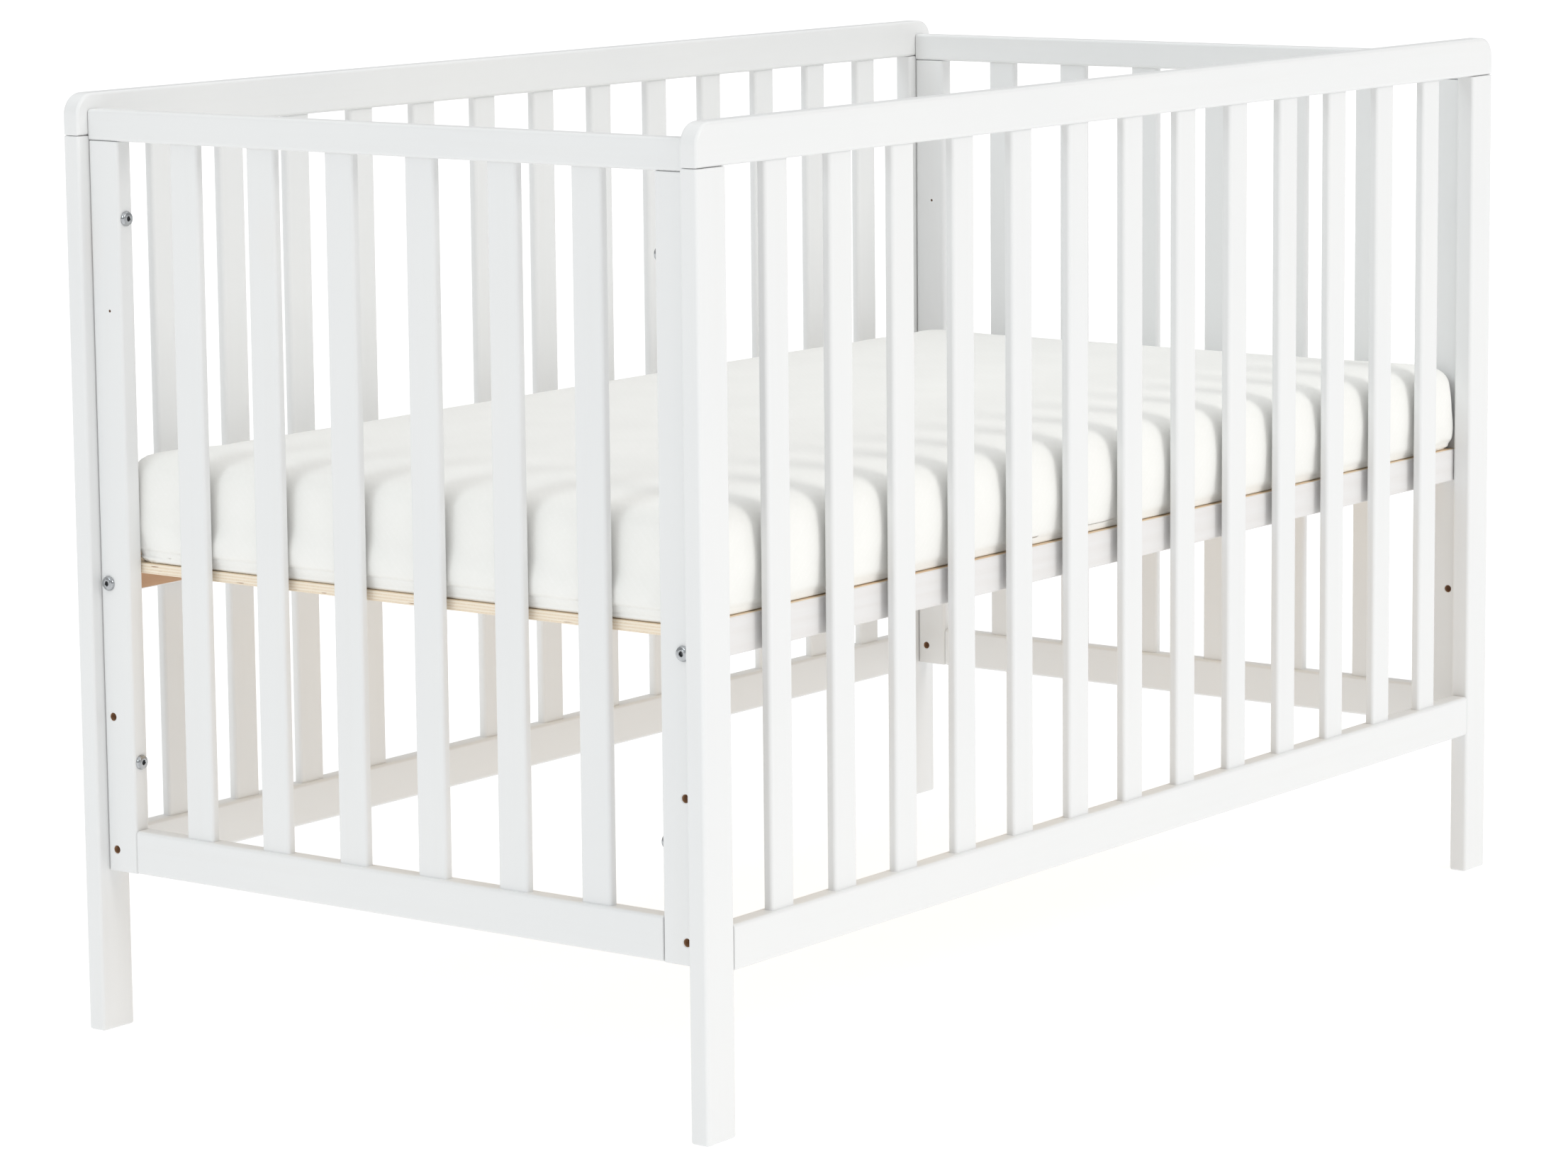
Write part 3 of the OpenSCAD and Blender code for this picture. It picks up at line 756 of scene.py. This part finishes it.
def mattress_start():
    """The mattress a little small, as a rounded slab, before it fills out."""
    prof = [(R_LOW - R_LOW * math.sin(t), M_LO + R_LOW - R_LOW * math.cos(t)) for t in [math.pi / 2 * k / 4 for k in range(5)]]
    prof += [(R_TOP - R_TOP * math.cos(t), M_HI - R_TOP + R_TOP * math.sin(t)) for t in [math.pi / 2 * k / 8 for k in range(9)]]
    bm = bmesh.new()
    rows = []
    for d, z in prof:
        rows.append([bm.verts.new(Vector((u, v, z)) * MM) for u, v in ring(rect(0, MAT_C, 2 * M_X, 2 * M_Y, 22.0), d, 10)])
    n = len(rows[0])
    for r0, r1 in zip(rows, rows[1:]):
        for i in range(n):
            bm.faces.new((r0[i], r0[(i + 1) % n], r1[(i + 1) % n], r1[i]))
    bm.faces.new(list(reversed(rows[0])))
    bm.faces.new(rows[-1])
    return to_object(bm, "mattress", [])


def baked(ob):
    bpy.context.view_layer.update()
    dg = bpy.context.evaluated_depsgraph_get()
    me = bpy.data.meshes.new_from_object(ob.evaluated_get(dg))
    old = ob.data
    ob.modifiers.clear()
    ob.data = me
    bpy.data.meshes.remove(old)


def points(me):
    co = np.empty(len(me.vertices) * 3)
    me.vertices.foreach_get("co", co)
    return co.reshape(-1, 3) * 1000


def put(me, c):
    me.vertices.foreach_set("co", (c / 1000).ravel())
    me.update()


mat = mattress_start()
mod = mat.modifiers.new("remesh", "REMESH")
mod.mode, mod.voxel_size = "VOXEL", 0.008
baked(mat)
start = snapped(points(mat.data))
put(mat.data, start)
plain = mat.data.copy()
filled = start.copy()
# the cover fills out a little under the foam's push, pinned where it lies on the boards
group = mat.vertex_groups.new(name="held")
group.add([int(i) for i in np.nonzero(start[:, 2] < MAT_Z + 2.0)[0]], 1.0, "REPLACE")
cloth = mat.modifiers.new("cloth", "CLOTH")
cs = cloth.settings
cs.quality = 4
cs.mass = 0.25
cs.tension_stiffness = cs.compression_stiffness = 22
cs.shear_stiffness = 12
cs.bending_stiffness = 1.5
cs.use_pressure = True
cs.uniform_pressure_force = 4.0
cs.effector_weights.gravity = 0
cs.vertex_group_mass = "held"
cloth.collision_settings.use_collision = False
for f in range(1, 17):
    scene.frame_set(f)
baked(mat)
scene.frame_set(1)
move = points(mat.data) - start
size = np.linalg.norm(move, axis=1)
filled = start + move * np.minimum(1.0, 4.0 / np.maximum(size, 1e-9))[:, None]


def clampbox(c):
    """Stays inside its place: flat on the boards, off the end panels, the slats and the rails' lips."""
    left = 602.1 + 3.6 * (1 - step(np.abs(c[:, 1]), 262, 284)) * (c[:, 2] > 418.2)      # and between the left stiles
    c[:, 0] = np.clip(c[:, 0], -left, 602.1)
    most = 321.4 + 3.9 * (1 - step(np.abs(c[:, 0]), 560, 588))       # fuller between the legs, where only slats stand
    back = 310.0 + 5.0 * step(-c[:, 0], 300, 560)
    c[:, 1] = np.where(c[:, 2] < 418.2, np.clip(c[:, 1], -311.6, 310.0), np.clip(c[:, 1], -most, back))
    c[:, 2] = np.maximum(c[:, 2], MAT_Z + 0.05)
    return c


# one subdivision of the plain and of the filled shape; the plain one is snapped again, so the edges stay crisp
put(mat.data, filled)
soft = mat.data.copy()
fine = []
for me in (plain, soft):
    old = mat.data
    mat.data = me
    mod = mat.modifiers.new("sub", "SUBSURF")
    mod.levels = mod.render_levels = 1
    baked(mat)
    fine.append(points(mat.data))
c = snapped(fine[0])
c += fine[1] - fine[0]
put(mat.data, c)
# rows of points close to the boards and to the front rail's lip, so the foot of the mattress is crisp there
bm = bmesh.new()
bm.from_mesh(mat.data)
for z in (413.2, 413.9, 415.0, 417.7, 418.6, 420.5):
    bmesh.ops.bisect_plane(bm, geom=bm.verts[:] + bm.edges[:] + bm.faces[:], dist=1e-6, plane_co=(0, 0, z * MM), plane_no=(0, 0, 1))
bm.to_mesh(mat.data)
bm.free()
c = points(mat.data)
low = c[:, 2] < 417.9
c[low] = snapped(c[low])
# it lies as a used one does: lower and softer at the right end, fuller along the front, and drawn in
# at the foot of the front, where it sits between the rails' lips
up = np.clip((c[:, 2] - MAT_Z) / MAT_H, 0, 1)
c[:, 2] += up * (0.6 - 2.6 * step(c[:, 0], 0, 560) - 4.6 * step(c[:, 0], 515, 600))
front = step(-c[:, 1], 270, 318)
c[:, 1] += front * 1.2 * (1 - step(c[:, 2], 418.2, 428.0))
c[:, 1] -= front * 7.0 * np.sin(np.pi * up) ** 0.9 * step(c[:, 2], 418, 430)
c[:, 0] -= 4.2 * step(-c[:, 0], 560, 600) * np.sin(np.pi * up) ** 0.7 * step(c[:, 2], 418, 428)
c[:, 1] += 9.0 * step(-c[:, 0], 260, 600) * step(c[:, 2], 418, 430) * step(c[:, 1], 200, 280)
put(mat.data, clampbox(c))

# loops at the seam, then the seam is drawn in
SEAM = MAT_Z + 10.5
bm = bmesh.new()
bm.from_mesh(mat.data)
for z in [SEAM + dz for dz in (-3.2, -1.7, -0.8, 0.0, 0.8, 1.7, 3.2)]:
    bmesh.ops.bisect_plane(bm, geom=bm.verts[:] + bm.edges[:] + bm.faces[:], dist=1e-6, plane_co=(0, 0, z * MM), plane_no=(0, 0, 1))
bm.verts.ensure_lookup_table()
bm.normal_update()
for v in bm.verts:
    x, y, z = v.co / MM
    nrm = v.normal
    side = math.hypot(nrm.x, nrm.y)
    # broad softness of foam, and the cover's shallow creases
    p = Vector((x * 0.006, y * 0.006, z * 0.006))
    d = 0.55 * noise.noise(p + Vector((3.1, 7.7, 1.3)))
    if side > 0.25:
        per = x if abs(nrm.y) > abs(nrm.x) else y
        d += 0.30 * side * noise.noise(Vector((per * 0.018, z * 0.05, 4.4)))
        # puckers along the seam
        near = math.exp(-((z - SEAM) / 7.0) ** 2)
        d += near * 0.45 * noise.noise(Vector((per * 0.055, 2.0, 9.1)))
        # the cover hangs in shallow slanting folds at the front right
        if nrm.y < -0.3 and x > 120:
            wgt = min(1.0, (x - 120) / 200.0) * math.exp(-((z - (MAT_Z + 20)) / 20.0) ** 2)
            d += wgt * 1.5 * noise.noise(Vector(((x + 1.6 * z) * 0.021, z * 0.022, 1.9)))
        g = (z - SEAM) / 1.0
        d -= (0.20 if nrm.y < -0.5 else 0.85) * math.exp(-g * g) * min(1.0, side * 1.3)
        d += 0.20 * math.exp(-((z - SEAM - 3.2) / 1.8) ** 2) + 0.16 * math.exp(-((z - SEAM + 3.0) / 1.6) ** 2)
    if nrm.z < -0.5:
        d = 0.0
    v.co += nrm * d * MM
me2 = bpy.data.meshes.new("mattress_knit_cover")
bm.to_mesh(me2)
bm.free()
old = mat.data
mat.data = me2
bpy.data.meshes.remove(old)
me = mat.data
co = clampbox(points(me))
put(me, co)
co = co / 1000
me.materials.clear()
me.materials.append(KNIT)
uvl = me.uv_layers.new(name="knit")
loops = np.empty(len(me.loops), dtype=np.int32)
me.loops.foreach_get("vertex_index", loops)
uv = np.empty((len(me.loops), 2))
for p in me.polygons:
    n = p.normal
    for li in p.loop_indices:
        c = co[loops[li]]
        if abs(n.z) > 0.72:
            uv[li] = (c[0], c[1])
        elif abs(n.x) > abs(n.y):
            uv[li] = (c[1], c[2])
        else:
            uv[li] = (c[0], c[2])
uvl.data.foreach_set("uv", uv.ravel())
me.shade_smooth()
mat.name = "mattress_knit_cover"
settle(mat, "mattress", "mattress_knit", "mattress_cover", "mattress_core")


# ------------------------------------------------------------------ stage, light, camera
bm = bmesh.new()
bmesh.ops.create_grid(bm, x_segments=2, y_segments=2, size=60.0)
floor = to_object(bm, "floor", [])
fn = Nodes("white_studio_floor")
fcl = fn.noise(fn.mapped((1, 1, 1)), 0.8, 2, 0.5)
fn.set(color=fn.ramp(fcl, [(0.3, (0.47, 0.47, 0.47)), (0.7, (0.49, 0.49, 0.49))]), rough=0.9, spec=0.1)
fn.bsdf.inputs["Emission Color"].default_value = (1, 1, 1, 1)
fn.bsdf.inputs["Emission Strength"].default_value = 0.66
floor.data.materials.append(fn.mat)

world = bpy.data.worlds.new("studio")
scene.world = world
world.use_nodes = True
bg = world.node_tree.nodes["Background"]
bg.inputs["Color"].default_value = (1.0, 1.0, 1.0, 1)
bg.inputs["Strength"].default_value = 0.50


def sun(name, azimuth, elevation, strength, angle, color=(1, 1, 1)):
    """azimuth: where the light comes from, in degrees from +X towards +Y."""
    li = bpy.data.lights.new(name, "SUN")
    li.energy, li.angle, li.color = strength, math.radians(angle), color
    ob = bpy.data.objects.new(name, li)
    scene.collection.objects.link(ob)
    a, e = math.radians(azimuth), math.radians(elevation)
    d = Vector((math.cos(a) * math.cos(e), math.sin(a) * math.cos(e), math.sin(e)))
    ob.rotation_euler = d.to_track_quat("Z", "Y").to_euler()
    ob.location = d * 5
    return ob


sun("left_soft_light", 170, 30, 0.52, 24, (0.88, 0.965, 1.0))
sun("front_soft_light", -88, 28, 0.90, 24, (1.0, 0.99, 0.97))
sun("overhead_soft_light", 30, 86, 1.05, 100)

yaw, pitch, roll, f, cx, cy = 0.6398, -0.1486, 0.0095, 7352.3, 1106.0, 719.0
fwd = Vector((math.cos(yaw) * math.cos(pitch), math.sin(yaw) * math.cos(pitch), math.sin(pitch)))
right = Vector((math.sin(yaw), -math.cos(yaw), 0.0))
down = fwd.cross(right)
r2 = right * math.cos(roll) + down * math.sin(roll)
d2 = down * math.cos(roll) - right * math.sin(roll)
cam_data = bpy.data.cameras.new("camera")
cam = bpy.data.objects.new("camera", cam_data)
scene.collection.objects.link(cam)
m = Matrix((r2, -d2, -fwd)).transposed().to_4x4()
m.translation = Vector((-3.82324, -2.79689, 1.11605))
cam.matrix_world = m
cam_data.sensor_fit = "HORIZONTAL"
cam_data.sensor_width = 36.0
cam_data.lens = f * 36.0 / 2212.0
cam_data.shift_x = -(cx - 1106.0) / 2212.0
cam_data.shift_y = (cy - 829.5) / 2212.0
cam_data.clip_start, cam_data.clip_end = 0.05, 400
scene.camera = cam

scene.view_settings.view_transform = "Standard"
scene.view_settings.look = "None"
